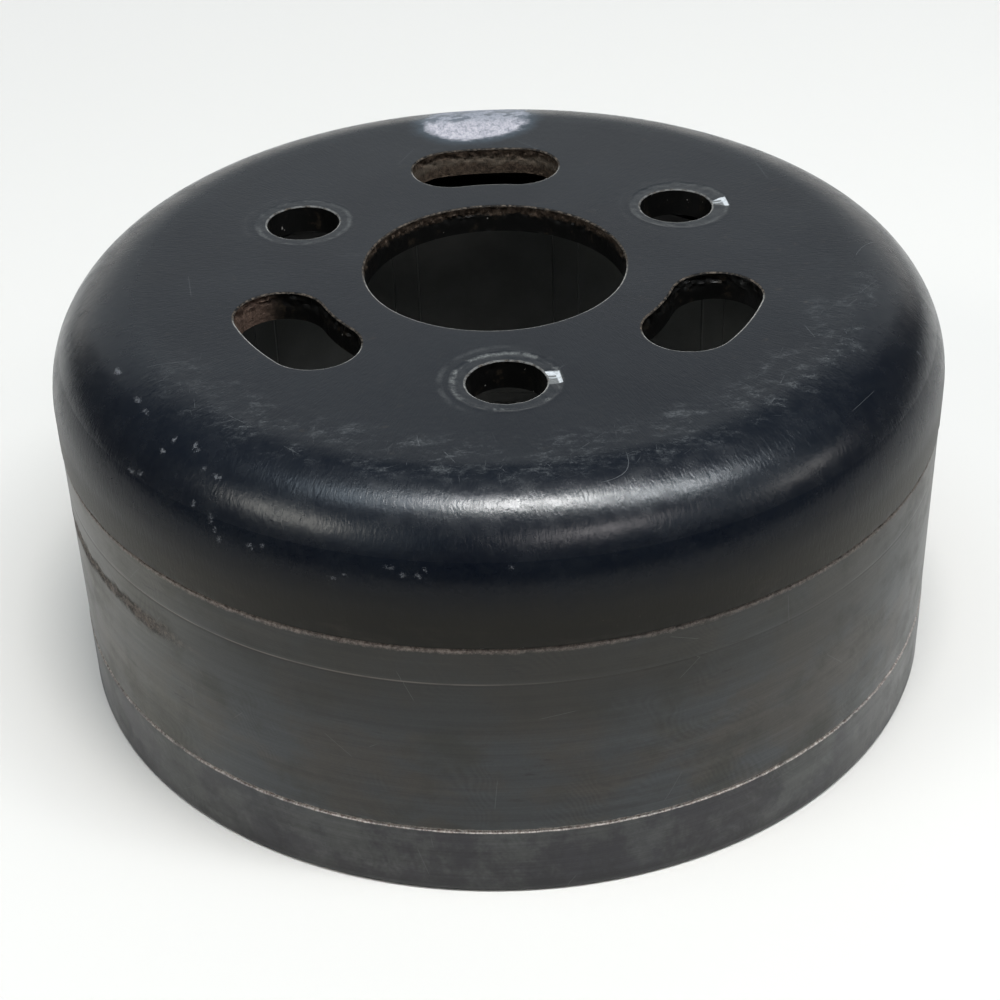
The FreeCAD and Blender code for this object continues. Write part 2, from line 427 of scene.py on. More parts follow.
def cup_mesh():
    """The whole cup, inside and out, with a material for each face."""
    solid = Solid()
    xy, faces, (rim, *edges) = plate_mesh()
    top = solid.add(np.column_stack([xy, plate_height(xy)]))
    bottom = solid.add(np.column_stack([xy, np.full(len(xy), FLOOR_Z)]))
    worn = np.min([hole.distance(xy[faces].mean(axis=1)) for hole in HOLES], axis=0) < EDGE_WIDTH
    solid.skin(top[faces[~worn]], PAINT)
    solid.skin(top[faces[worn]], EDGE)
    solid.skin(bottom[faces][:, ::-1], INSIDE)

    for seed, (hole, edge) in enumerate(zip(HOLES, edges)):
        above = top[edge]
        torn = 0.15 if hole in BOLTS else 1.0
        for depth, ragged, flare in CUT_LEVELS:
            z = HEIGHT - SKIN - EDGE_DROP - depth
            points = np.column_stack([hole.edge, np.full(len(hole.edge), z)])
            worn = torn * (rough(points, 60 + seed, 1.1, 3) * ragged + flare)
            worn += 0.02 * Waves(70 + seed, 0.9)(points * np.array([1, 1, 0.05]))
            points[:, :2] += hole.normal * np.clip(worn, 0, 0.45)[:, None]
            below = solid.add(points)
            solid.band(below, above, CUT)
            above = below
        solid.band(bottom[edge], above, CUT)

    rows, outside = wall_points()
    above = top[rim]
    for k, points in enumerate(rows):
        below = solid.add(points)
        slot = INSIDE if k >= outside else outside_slot(points[:, 2].mean())
        solid.band(above, below, slot)
        above = below
    solid.band(above, bottom[rim], INSIDE)
    return solid.build("cup")


# ------------------------ materials
def is_colour(value):
    """Whether a tuple or a socket holds a colour."""
    return isinstance(value, tuple) or getattr(value, "type", None) in ("RGBA", "VECTOR")


class Material:
    """A node material. Its helpers take sockets or plain values, and each returns a socket."""

    def __init__(self, name):
        self.material = bpy.data.materials.new(name)
        self.material.use_nodes = True
        self.tree = self.material.node_tree
        self.shader = self.tree.nodes["Principled BSDF"]
        place = self.tree.nodes.new("ShaderNodeTexCoord").outputs["Object"]
        self.point = self.vector("SCALE", place, 1 / MM)
        self.normal = self.tree.nodes.new("ShaderNodeNewGeometry").outputs["Normal"]
        parts = self.node("ShaderNodeSeparateXYZ", [self.point])
        self.x, self.y, self.z = parts.outputs
        self.radius = self.vector("LENGTH", self.vector("MULTIPLY", self.point, (1, 1, 0)))
        self.angle = self.product(self.math("ARCTAN2", self.y, self.x), 180 / math.pi)

    def node(self, kind, inputs=(), **settings):
        made = self.tree.nodes.new(kind)
        for key, value in settings.items():
            setattr(made, key, value)
        for socket, value in zip(made.inputs, inputs):
            self.feed(socket, value)
        return made

    def feed(self, socket, value):
        if isinstance(value, bpy.types.NodeSocket):
            self.tree.links.new(value, socket)
        elif value is not None:
            socket.default_value = value

    def math(self, kind, a, b=None):
        return self.node("ShaderNodeMath", [a, b], operation=kind).outputs[0]

    def fold(self, kind, values):
        """One number from several, by the same operation again and again."""
        total = values[0]
        for value in values[1:]:
            total = self.math(kind, total, value)
        return total

    def product(self, *values):
        return self.fold("MULTIPLY", values)

    def total(self, *values):
        return self.fold("ADD", values)

    def most(self, *values):
        return self.fold("MAXIMUM", values)

    def off(self, value, centre):
        """How far a value is from a centre."""
        return self.math("ABSOLUTE", self.math("SUBTRACT", value, centre))

    def vector(self, kind, a, b=None):
        made = self.node("ShaderNodeVectorMath", [a], operation=kind)
        self.feed(made.inputs["Scale" if kind == "SCALE" else 1], b)
        return made.outputs["Value" if kind in ("LENGTH", "DOT_PRODUCT", "DISTANCE") else "Vector"]

    def dot(self, a, b):
        return self.vector("DOT_PRODUCT", a, b)

    def step(self, value, low, high, out_low=0.0, out_high=1.0):
        """out_low below low and out_high above high, smooth between."""
        made = self.node("ShaderNodeMapRange", interpolation_type="SMOOTHSTEP")
        for socket, given in zip(made.inputs[:5], (value, low, high, out_low, out_high)):
            self.feed(socket, given)
        return made.outputs[0]

    def noise(self, size, detail=3.0, roughness=0.55, stretch=(1, 1, 1), seed=0.0, distortion=0.0):
        """Noise between 0 and 1 whose bumps are about size millimetres wide."""
        place = self.vector("MULTIPLY", self.point, tuple(k / size for k in stretch))
        place = self.vector("ADD", place, (seed * 7.3, seed * 3.1, seed * 5.7))
        return self.texture(place, detail, roughness, distortion)

    def texture(self, place, detail, roughness, distortion):
        """The noise texture itself."""
        made = self.node("ShaderNodeTexNoise", [place])
        settings = {"Scale": 1.0, "Detail": detail, "Roughness": roughness, "Distortion": distortion}
        for key, value in settings.items():
            made.inputs[key].default_value = value
        return made.outputs["Fac"]

    def ragged(self, amount, *shape, **more):
        """Noise round 0, by which an edge wanders."""
        return self.product(self.math("SUBTRACT", self.noise(*shape, **more), 0.5), amount)

    def near_level(self, level, half, wobble=0.0):
        """1 at a height, fading to 0 half a width above and below it."""
        return self.step(self.off(self.total(self.z, wobble), level), half, half * 0.4)

    def away(self, centre):
        """The distance from a place in plan on the closed face."""
        return self.vector("DISTANCE", self.point, (*centre, HEIGHT))

    def fibres(self, size, length):
        """Fine noise drawn out along the cup's profile, from the middle of the face down to the rim."""
        down = self.math("SUBTRACT", self.z, self.radius)
        around = self.product(self.angle, math.radians(1) * PLATE_RADIUS)
        parts = [self.math("DIVIDE", around, size), self.math("DIVIDE", down, length)]
        return self.texture(self.node("ShaderNodeCombineXYZ", parts).outputs[0], 3.0, 0.6, 0.6)

    def scratches(self, cell, width, length, seed, share):
        """Short straight scratches, at most one in each random cell, lying in the surface."""
        place = self.vector("ADD", self.point, (seed * 11.0, seed * 5.0, seed * 3.0))
        cells = self.node("ShaderNodeTexVoronoi", voronoi_dimensions="3D", feature="F1")
        self.feed(cells.inputs["Vector"], place)
        cells.inputs["Scale"].default_value = 1 / cell
        heading = self.vector("SUBTRACT", cells.outputs["Color"], (0.5, 0.5, 0.5))
        heading = self.vector("NORMALIZE", self.flattened(heading))
        away = self.flattened(self.vector("SUBTRACT", place, cells.outputs["Position"]))
        along = self.dot(away, heading)
        across = self.vector("LENGTH", self.vector("SUBTRACT", away, self.vector("SCALE", heading, along)))
        chance = self.node("ShaderNodeTexWhiteNoise", noise_dimensions="3D")
        self.feed(chance.inputs["Vector"], cells.outputs["Position"])
        return self.product(self.step(across, width, width * 0.3),
                            self.step(self.math("ABSOLUTE", along), length, length * 0.7),
                            self.step(chance.outputs["Value"], share, share * 0.98))

    def flattened(self, arrow):
        """An arrow without its part across the surface."""
        across = self.vector("SCALE", self.normal, self.dot(arrow, self.normal))
        return self.vector("SUBTRACT", arrow, across)

    def blend(self, share, first, second):
        """Colours or numbers mixed by a share between 0 and 1."""
        coloured = is_colour(first) or is_colour(second)
        made = self.node("ShaderNodeMix", [share], data_type="RGBA" if coloured else "FLOAT")
        start, result = (6, 2) if coloured else (2, 0)
        for socket, value in zip(made.inputs[start:], (first, second)):
            self.feed(socket, (*value, 1.0) if isinstance(value, tuple) else value)
        return made.outputs[result]

    def finish(self, colour, roughness, height=None, metallic=0.0, specular=0.5):
        """Feeds the shader. The height is in millimetres."""
        shader = self.shader.inputs
        self.feed(shader["Base Color"], colour)
        self.feed(shader["Roughness"], roughness)
        self.feed(shader["Metallic"], metallic)
        self.feed(shader["Specular IOR Level"], specular)
        if height is not None:
            bump = self.node("ShaderNodeBump")
            bump.inputs["Distance"].default_value = MM
            self.feed(bump.inputs["Height"], height)
            self.feed(shader["Normal"], bump.outputs[0])
        return self.material


# Chips in the shoulder's paint: the angle about the axis, the height, and half the width and height
CHIPS = (
    (-156, 55.1, 1.0, 0.3), (-148, 54.9, 0.8, 0.22), (-145, 54.7, 0.9, 0.15), (-137.5, 54.3, 0.28, 0.35),
    (-134, 54.6, 0.25, 0.55), (-133.2, 54.4, 0.2, 0.4), (-138, 53.2, 0.45, 0.3),
    (-141.5, 50.0, 0.8, 0.16), (-139.8, 50.4, 0.42, 0.34), (-130.8, 53.5, 0.3, 0.3),
    (-128.4, 53.3, 0.8, 0.24), (-127.3, 49.5, 0.26, 0.7), (-126.4, 48.6, 0.22, 0.45),
    (-125.6, 47.7, 0.3, 0.35), (-121.3, 48.1, 0.45, 0.42), (-119.8, 48.6, 0.22, 0.2),
    (-130.2, 50.3, 0.4, 0.35), (-104.6, 48.9, 0.8, 0.16), (-102.9, 48.2, 0.5, 0.18),
    (-101.3, 48.2, 0.4, 0.25), (-100.4, 48.9, 0.2, 0.2), (-91, 49.3, 0.25, 0.2),
    (-111.0, 46.8, 0.6, 0.16), (-109.6, 47.4, 0.35, 0.14), (-22, 52.0, 0.16, 0.6),
)


def chip(m, wander, angle, level, wide, tall):
    """1 inside one chip, which leans a little and whose outline wanders."""
    rise = math.sqrt(CORNER**2 - max(0.0, level - (HEIGHT - CORNER)) ** 2)
    place = m.vector("SUBTRACT", m.point, (*polar(PLATE_RADIUS + rise, angle), level))
    place = m.vector("ADD", place, wander)
    ahead = polar(1, angle)
    around = m.dot(place, (-ahead[1] / wide, ahead[0] / wide, 0.25 / wide))
    down = m.dot(place, (0.5 * ahead[0] / tall, 0.5 * ahead[1] / tall, -1 / tall))
    return m.step(m.total(m.product(around, around), m.product(down, down)), 1.0, 0.2)


def paint_ground(m, lowest, highest):
    """The plain paint's colour, roughness, height and patchiness, with the chips between two levels."""
    peel = m.noise(0.8, 3.0, 0.6)
    fibre = m.fibres(0.3, 1.5)
    cloud = m.noise(16, 4.0, 0.6, seed=3)
    patch = m.noise(3.6, 4.0, 0.65, seed=4)
    mottle = m.noise(0.9, 4.0, 0.75, (0.55, 1, 1), seed=5)
    colour = m.blend(m.step(cloud, 0.35, 0.65), (0.0022, 0.0034, 0.0064), (0.0038, 0.0054, 0.0086))
    colour = m.blend(m.product(m.step(mottle, 0.38, 0.72), 0.4), colour, (0.0085, 0.01, 0.012))
    roughness = m.blend(m.step(patch, 0.35, 0.7), 0.2, 0.3)
    wander = m.node("ShaderNodeTexNoise", [m.vector("SCALE", m.point, 1.7)]).outputs["Color"]
    wander = m.vector("SCALE", m.vector("SUBTRACT", wander, (0.5, 0.5, 0.5)), 1.5)
    chips = m.most(*(chip(m, wander, *place) for place in CHIPS if lowest < place[1] < highest))
    ragged = m.noise(0.45, 3, 0.7, seed=9)
    chips = m.product(chips, m.step(ragged, 0.38, 0.56))
    bared = m.blend(ragged, (0.03, 0.034, 0.042), (0.19, 0.195, 0.205))
    colour = m.blend(m.product(chips, 0.85), colour, bared)
    height = m.total(m.product(peel, 0.015), m.product(fibre, 0.032), m.product(patch, 0.02))
    return colour, m.blend(chips, roughness, 0.6), height, patch


def thin_paint():
    """Low on the shoulder the paint is thin and browned."""
    m = Material("thin_brown_paint")
    colour, roughness, height, patch = paint_ground(m, 40, THIN_Z + 1)
    level = m.total(m.z, m.product(m.math("SUBTRACT", patch, 0.5), 3.0))
    thin = m.step(level, THIN_Z - 1, 41.0)
    cloud = m.noise(9, 4, 0.6, seed=14)
    brown = m.blend(cloud, (0.0068, 0.0064, 0.0042), (0.012, 0.0108, 0.0078))
    # Lighter and warmer low on the shoulder where it turns away from the camera: a painted reflection of
    # the room at a grazing view.
    side_sheen = m.product(m.step(m.off(m.angle, -90), 15, 60), m.step(m.z, 44, 40), 0.35)
    brown = m.blend(side_sheen, brown, (0.06, 0.055, 0.043))
    colour = m.blend(thin, colour, brown)
    rub = m.noise(2.2, 4, 0.7, (0.3, 0.3, 1), seed=15)
    rub = m.product(m.step(m.z, 43, 39), m.step(rub, 0.5, 0.8), 0.4)
    colour = m.blend(rub, colour, (0.05, 0.042, 0.033))
    specks = m.step(m.noise(0.8, 3, 0.7, seed=16), 0.68, 0.76)
    colour = m.blend(m.product(specks, thin, 0.35), colour, (0.07, 0.062, 0.05))
    return m.finish(colour, m.blend(thin, roughness, 0.42), height, specular=0.16)


def rubbed(m, grainy):
    """Rubbing where the face turns down, most of it at the front and right, and stray scratches."""
    front = m.step(m.off(m.angle, -80), 85, 50)
    turn_down = m.product(m.step(m.radius, 40, 45.5), m.step(m.radius, 53, 48.5))
    patches = m.product(turn_down, front, m.step(m.noise(7, 4, 0.7, (1, 1.6, 1), seed=6), 0.38, 0.6))
    smear = m.step(m.noise(1.6, 5, 0.8, (0.6, 1.2, 1), seed=8), 0.46, 0.72)
    short = m.product(m.scratches(2.2, 0.045, 0.8, 1, 0.5), 0.7)
    straight = m.most(m.scratches(4.5, 0.06, 1.5, 2, 0.5), short)
    haze = m.product(patches, smear, m.step(grainy, 0, 1, 0.3, 1), 0.62)
    scuff = m.product(patches, straight, m.step(grainy, 0, 1, 0.25, 0.65))
    faint = m.product(m.step(m.z, 50, 54), m.scratches(13.0, 0.05, 3.2, 3, 0.3), 0.35)
    return m.most(scuff, haze, faint)


def marking_paint(m, colour, roughness):
    """Adds the dab of white marking paint beside one slot, dashed where it runs onto the shoulder."""
    place = m.vector("SUBTRACT", m.point, (*DAB, HEIGHT))
    lean = m.dot(place, (-0.02, 0.137, 0))
    level = m.dot(place, (0.12, 0.008, 0))
    reach = m.math("SQRT", m.total(m.product(lean, lean), m.product(level, level)))
    reach = m.total(reach, m.ragged(0.4, 1.5, 5, 0.7, (0.7, 1, 1), seed=10))
    speckle = m.noise(0.75, 5, 0.85, (1.0, 0.5, 1.0), seed=11)
    dashes = m.step(m.noise(1.1, 3, 0.75, (0.45, 0.8, 1.0), seed=12), 0.42, 0.54)
    upper = m.step(m.y, 44.5, 47.5)
    solid = m.step(m.blend(upper, 1.0, dashes), 0, 1, 0.25, 1)
    white = m.product(m.step(reach, 1.05, 0.85), m.step(speckle, 0.24, 0.46, 0.4, 1), solid)
    glow = m.product(m.step(reach, 1.32, 0.85), 0.45)
    colour = m.blend(glow, colour, (0.07, 0.1, 0.13))
    chalk = m.blend(m.step(speckle, 0.32, 0.68), (0.2, 0.205, 0.235), (0.44, 0.42, 0.45))
    chalk = m.blend(m.product(upper, 0.5), chalk, (0.13, 0.155, 0.185))
    return m.blend(m.product(white, 0.95), colour, chalk), m.blend(white, roughness, 0.7)


def washer_mark(m, angle, hole, wobble):
    """How worn the paint is round one bolt hole."""
    _, seat_radius, shift, pale, clear = SEATS[angle]
    middle = hole.centre + shift
    away = m.total(m.away(middle), wobble)
    broken = m.step(m.noise(3.5, 5, 0.75, seed=angle + 1), 0.4, 0.62)
    inner = m.step(m.off(away, seat_radius - 0.4), 0.6, 0.0)
    seat = m.product(m.step(away, seat_radius, seat_radius - 0.3), pale)
    outer = m.step(m.off(away, SCUFF_RADIUS), 0.6, 0.1)
    lip = m.step(m.math("SUBTRACT", m.away(hole.centre), hole.radius), 0.45, 0.2)
    side = m.dot(m.vector("SUBTRACT", m.point, (*middle, HEIGHT)), (-0.11, 0.05, 0))
    return m.most(m.product(inner, m.step(broken, 0, 1, 0.1, 0.8), clear), seat,
                  m.product(outer, broken, m.step(side, -0.2, 0.9), 0.2 * clear),
                  m.product(lip, m.step(broken, 0, 1, 0.1, 0.35)))


def washer_bite(m, angle, hole, wobble):
    """Where the end of a split washer bit through the paint, and which facets of it catch the light."""
    turn, reach, first, last = BITES[angle]
    place = m.vector("SUBTRACT", m.point, (*(hole.centre + polar(BOLT_RADIUS, turn)), HEIGHT))
    along = m.math("DIVIDE", m.dot(place, (*polar(1, turn), 0)), reach)
    across = m.dot(place, (*polar(1, turn + 90), 0))
    across = m.total(across, m.product(wobble, 0.35))
    half = m.step(along, 0, 1, first, last)
    spot = m.product(m.step(m.math("DIVIDE", m.math("ABSOLUTE", across), half), 1.0, 0.82),
                     m.step(along, 1.02, 0.94), m.step(along, -0.3, -0.1))
    facet = m.most(m.step(across, -0.1, 0.25), m.step(along, 0.66, 0.78))
    cleft = m.most(m.step(m.off(across, 0.35), 0.1, 0.22), m.step(along, 0.62, 0.7))
    return spot, m.product(facet, cleft)


def worn_paint():
    """Thin black paint on the closed face and the upper shoulder, with all that marks it."""
    m = Material("worn_black_paint")
    colour, roughness, height, _ = paint_ground(m, THIN_Z - 1, HEIGHT)
    face = m.step(m.radius, PLATE_RADIUS + 2, PLATE_RADIUS - 3)
    roughness = m.blend(face, roughness, 0.38)
    spot = m.step(m.noise(2.6, 4, 0.7, seed=17), 0.62, 0.75)
    colour = m.blend(m.product(spot, face, 0.35), colour, (0.04, 0.034, 0.028))
    grainy = m.step(m.noise(0.35, 3, 0.8, seed=18), 0.35, 0.65)
    marks = rubbed(m, grainy)
    colour = m.blend(m.product(marks, 0.75), colour, (0.17, 0.18, 0.185))
    roughness = m.blend(marks, roughness, 0.5)
    colour, roughness = marking_paint(m, colour, roughness)

    bites = []
    for angle, hole in zip(BOLT_ANGLES, BOLTS):
        wobble = m.ragged(0.9, 2.0, 4, 0.7, seed=angle)
        worn = m.product(washer_mark(m, angle, hole, wobble), m.step(grainy, 0, 1, 0.5, 1.1))
        colour = m.blend(m.product(worn, 0.8), colour, (0.16, 0.165, 0.16))
        roughness = m.blend(worn, roughness, 0.42)
        if angle in BITES:
            bites.append(washer_bite(m, angle, hole, wobble))
    bare, gleam = bites[0]
    for spot, facet in bites[1:]:
        bare = m.most(bare, spot)
        gleam = m.blend(spot, gleam, facet)
    shine = m.product(gleam, m.step(m.noise(0.6, 2, 0.6, seed=16), 0.3, 0.5, 0.55, 1))
    colour = m.blend(bare, colour, m.blend(shine, (0.15, 0.155, 0.155), (0.58, 0.6, 0.62)))
    roughness = m.blend(bare, roughness, 0.42)
    return m.finish(colour, roughness, height, metallic=m.product(bare, 0.35), specular=0.36)


def worn_and_glinting_edge():
    """The rounding of each opening: pale where it faces the rear, a painted highlight in broken patches,
    and brown and dull elsewhere.
    """
    m = Material("worn_and_glinting_edges")
    # Faces turned to the rear are painted pale: a painted highlight of the light that the rounding catches
    # there.
    rear = m.step(m.dot(m.normal, (0, 1, 0)), -0.02, 0.18)
    broken = m.step(m.noise(1.1, 4, 0.75), 0.34, 0.6)
    pale = m.blend(broken, (0.11, 0.11, 0.105), (0.25, 0.245, 0.23))
    speck = m.step(m.noise(0.6, 4, 0.8, seed=1), 0.4, 0.66)
    dull = m.blend(speck, (0.004, 0.004, 0.004), (0.095, 0.078, 0.062))
    bolts = m.most(*(m.step(m.away(hole.centre), BOLT_RADIUS + 1.2, BOLT_RADIUS + 1) for hole in BOLTS))
    dull = m.blend(m.product(bolts, broken), dull, (0.12, 0.12, 0.117))
    return m.finish(m.blend(rear, dull, pale), 0.7, specular=0.14)


def steel_colour(m, cloud, stain):
    """How the bare steel has browned, with painted light in it: darker high up and paler low down as a
    painted reflection of the floor, darker in front as painted shade, paler towards the outline at left and
    right and low on the right as painted reflection and highlight, and paler on the rim.
    """
    blue, brown, olive = (0.034, 0.038, 0.041), (0.04, 0.035, 0.029), (0.024, 0.024, 0.018)
    colour = m.blend(m.step(cloud, 0.4, 0.6), blue, brown)
    colour = m.blend(m.product(m.step(stain, 0.46, 0.68), 0.7), colour, olive)
    # Darker above the middle of the band and paler below it: painted light, standing in for the floor's
    # reflection, which brightens the band towards the bottom.
    colour = m.blend(m.product(m.step(m.z, 20, 33), 0.66), colour, (0.0125, 0.012, 0.0085))
    # Paler towards the outline, where the camera sees the wall at a slant: a painted reflection of the
    # room.
    away = m.off(m.angle, -80)
    side_sheen = m.product(m.step(away, 42, 66), m.step(away, 85, 125, 0.45, 0.12))
    colour = m.blend(side_sheen, colour, (0.1, 0.094, 0.076))
    # Darker where the wall faces the camera: painted shade, standing in for the dark room that the steel
    # reflects there.
    front = m.step(m.off(m.angle, -97), 36, 8)
    colour = m.blend(m.product(front, 0.3), colour, (0.008, 0.008, 0.007))
    rim = m.step(m.z, BAND_LOW + 0.1, BAND_LOW - 0.1)
    violet = m.step(m.noise(8, 5, 0.7, seed=6), 0.4, 0.62)
    violet = m.blend(violet, (0.024, 0.023, 0.028), (0.058, 0.06, 0.058))
    colour = m.blend(m.product(rim, 0.85), colour, violet)
    # Paler low on the right near the outline: a painted highlight.
    right = m.product(m.step(m.off(m.angle, -22), 30, 8), m.step(m.z, 17, 9), 0.7)
    colour = m.blend(right, colour, (0.115, 0.117, 0.112))
    vein = m.off(m.noise(9, 4, 0.7, (1, 1, 0.8), seed=17, distortion=0.5), 0.5)
    dirt = m.product(m.step(vein, 0.1, 0.0), m.step(m.z, BAND_LOW + 1.0, 1.0), 0.45)
    colour = m.blend(dirt, colour, (0.008, 0.008, 0.009))
    return m.blend(m.product(m.step(m.z, 2.6, 0.2), 0.6), colour, (0.012, 0.012, 0.013))


def chatter(m):
    """The cutter's chatter: a fine slanting hatch between -1 and 1, in patches."""
    pitch = 0.85
    around = m.product(m.angle, math.radians(1) * OUTER_RADIUS)
    bowed = m.product(m.noise(11, 2, 0.5, seed=18), 14)
    slant = m.total(m.product(around, 0.9), m.product(m.z, 0.55), bowed)
    hatch = m.math("SINE", m.product(slant, 2 * math.pi / pitch))
    return m.product(hatch, m.step(m.noise(9, 3, 0.6, seed=19), 0.5, 0.66))


def groove_marks(m, colour, fleck):
    """Adds the rusty or bright edges of the tool grooves, and says where the two wide ones are."""
    ragged = m.ragged(0.9, 1.1, 4, 0.75, seed=7)
    broken = m.step(m.noise(3.0, 4, 0.75, seed=8), 0.3, 0.62)
    left = m.step(m.angle, -76, -100)
    upper = m.product(m.near_level(BAND_HIGH, 0.85, ragged), m.step(broken, 0, 1, 0.6, 1))
    fine = m.step(m.noise(6, 3, 0.6, seed=9), 0.34, 0.55, 0.35, 1)
    fine = m.product(m.near_level(FINE_LINE + 0.05, 0.15), fine)
    lower = m.near_level(BAND_LOW, 0.36, m.product(ragged, 0.35))
    lower = m.product(lower, m.step(broken, 0, 1, 0.5, 1))
    rust = m.blend(fleck, (0.06, 0.042, 0.034), (0.3, 0.25, 0.22))
    colour = m.blend(m.product(upper, m.blend(left, 0.55, 0.85)), colour, rust)
    pale = m.blend(fleck, (0.12, 0.085, 0.07), (0.5, 0.46, 0.42))
    colour = m.blend(m.product(lower, 0.95), colour, pale)
    bright = m.blend(left, (0.01, 0.01, 0.01), (0.135, 0.115, 0.1))
    colour = m.blend(m.product(fine, m.blend(left, 0.05, 0.7)), colour, bright)
    under = m.product(m.near_level(FINE_LINE - 0.25, 0.16), left, 0.5)
    return m.blend(under, colour, (0.01, 0.01, 0.01)), upper, lower


def stray_marks(m, colour):
    """Adds dark dashes, pits, scratches and the pitted scar on the left, and says where the scar is."""
    climb = m.off(m.total(m.z, m.ragged(2.4, 4, 3, 0.6, seed=20)), SCAR_Z)
    scar = m.product(m.step(m.off(m.angle, SCAR_ANGLE), SCAR_HALF + 9, SCAR_HALF - 2),
                     m.step(climb, SCAR_HEIGHT * 1.3, SCAR_HEIGHT * 0.5))
    pits = m.step(m.noise(0.9, 3, 0.75, seed=11), 0.42, 0.6)
    torn = m.blend(pits, (0.026, 0.022, 0.018), (0.16, 0.13, 0.11))
    colour = m.blend(m.product(scar, 0.75), colour, torn)
    trail = m.product(m.step(m.angle, -128, -142), m.step(climb, 0.5, 0.2), m.step(pits, 0, 1, 0.3, 0.8))
    colour = m.blend(trail, colour, (0.12, 0.095, 0.08))
    dash = m.noise(1.3, 4.0, 0.75, (0.3, 0.3, 1.8), seed=12)
    where = m.step(m.noise(16, 2.0, 0.5, seed=13.5), 0.54, 0.64)
    colour = m.blend(m.product(m.step(dash, 0.6, 0.7), where, 0.7), colour, (0.009, 0.008, 0.008))
    pit = m.step(m.noise(1.2, 2, 0.6, seed=21), 0.76, 0.79)
    colour = m.blend(m.product(pit, 0.8), colour, (0.008, 0.007, 0.006))
    scratch = m.scratches(9.0, 0.06, 2.6, 4, 0.35)
    return m.blend(m.product(scratch, 0.3), colour, (0.12, 0.12, 0.12)), scar


def turned_steel():
    """Bare turned steel that has browned, with fine tool lines round it."""
    m = Material("turned_steel")
    lines = m.noise(0.16, 3.0, 0.6, (0.012, 0.012, 1), seed=1)
    broad = m.noise(1.2, 4.0, 0.65, (0.03, 0.03, 1), seed=2)
    cloud = m.noise(15, 5.0, 0.62, (1, 1, 1.7), seed=3.4)
    stain = m.noise(9, 5.0, 0.65, (1, 1, 1.2), seed=4.2)
    grain = m.noise(0.4, 3.0, 0.7, seed=5)
    tone = m.total(m.step(broad, 0.25, 0.75, 0.8, 1.18), m.step(lines, 0.3, 0.7, -0.09, 0.09),
                   m.product(chatter(m), 0.12), m.step(grain, 0.3, 0.7, -0.07, 0.07))
    colour = m.vector("SCALE", steel_colour(m, cloud, stain), tone)
    fleck = m.step(m.noise(0.45, 4, 0.8, seed=10), 0.34, 0.66)
    colour, upper, lower = groove_marks(m, colour, fleck)
    colour, scar = stray_marks(m, colour)
    roughness = m.blend(m.step(stain, 0.4, 0.7), 0.36, 0.48)
    roughness = m.blend(m.most(upper, lower, scar), roughness, 0.7)
    height = m.total(m.product(lines, 0.01), m.product(broad, 0.014), m.product(grain, 0.006),
                     m.product(m.most(upper, scar), fleck, 0.06))
    return m.finish(colour, roughness, height, metallic=0.1, specular=0.38)


def cut_steel():
    """Sheared walls of the openings: rusty and torn in places, else black paint with bright specks painted
    in as glints.
    """
    m = Material("sheared_edges")
    depth = m.math("SUBTRACT", HEIGHT, m.total(m.z, m.ragged(2.6, 2.4, 4, 0.65)))
    centre = m.product(m.step(m.radius, 20, 19), m.step(depth, 1.6, 1.1))
    rear = m.product(m.step(m.y, 20, 23), m.step(m.radius, 20, 22))
    left = m.product(m.step(m.x, -28.0, -31), m.step(m.y, -2, -6))
    fleck = m.step(m.noise(0.7, 4, 0.75, seed=1), 0.3, 0.7)
    rust = m.blend(fleck, (0.018, 0.012, 0.008), (0.088, 0.062, 0.044))
    streak = m.product(m.step(m.off(depth, 1.9), 0.9, 0.2), 0.5)
    rust = m.blend(m.product(streak, rear), rust, (0.115, 0.096, 0.074))
    red = m.blend(fleck, (0.06, 0.036, 0.027), (0.15, 0.095, 0.072))
    rust = m.blend(m.product(left, 0.6), rust, red)
    crumb = m.step(m.noise(0.55, 3, 0.75, seed=2), 0.6, 0.7)
    rust = m.blend(m.product(crumb, centre, 0.6), rust, (0.26, 0.22, 0.18))
    browned = m.product(m.step(m.noise(1.8, 4, 0.7, seed=3), 0.55, 0.72), 0.7)
    black = m.blend(browned, (0.0032, 0.0032, 0.003), (0.034, 0.026, 0.018))
    # The bright specks in the black paint are painted glints.
    speck = m.product(m.step(m.noise(0.7, 2, 0.6, seed=4), 0.735, 0.76), 0.9)
    black = m.blend(speck, black, (0.34, 0.32, 0.3))
    torn = m.most(centre, rear, left)
    height = m.product(m.noise(0.5, 4, 0.7, seed=5), m.blend(torn, 0.05, 0.18))
    return m.finish(m.blend(torn, black, rust), m.blend(torn, 0.45, 0.8), height, specular=0.22)


def inside_steel():
    """The cup's inside: thin black paint over pressed steel, dulled by dust and oil."""
    m = Material("cup_inside")
    cloud = m.noise(9, 4, 0.6)
    colour = m.blend(m.step(cloud, 0.35, 0.65), (0.03, 0.031, 0.028), (0.042, 0.042, 0.038))
    dust = m.product(m.step(m.noise(2.4, 4, 0.7, seed=1), 0.55, 0.75), 0.5)
    colour = m.blend(dust, colour, (0.07, 0.062, 0.05))
    height = m.product(m.noise(0.8, 4, 0.6, seed=2), 0.04)
    return m.finish(colour, m.blend(cloud, 0.5, 0.7), height, specular=0.35)


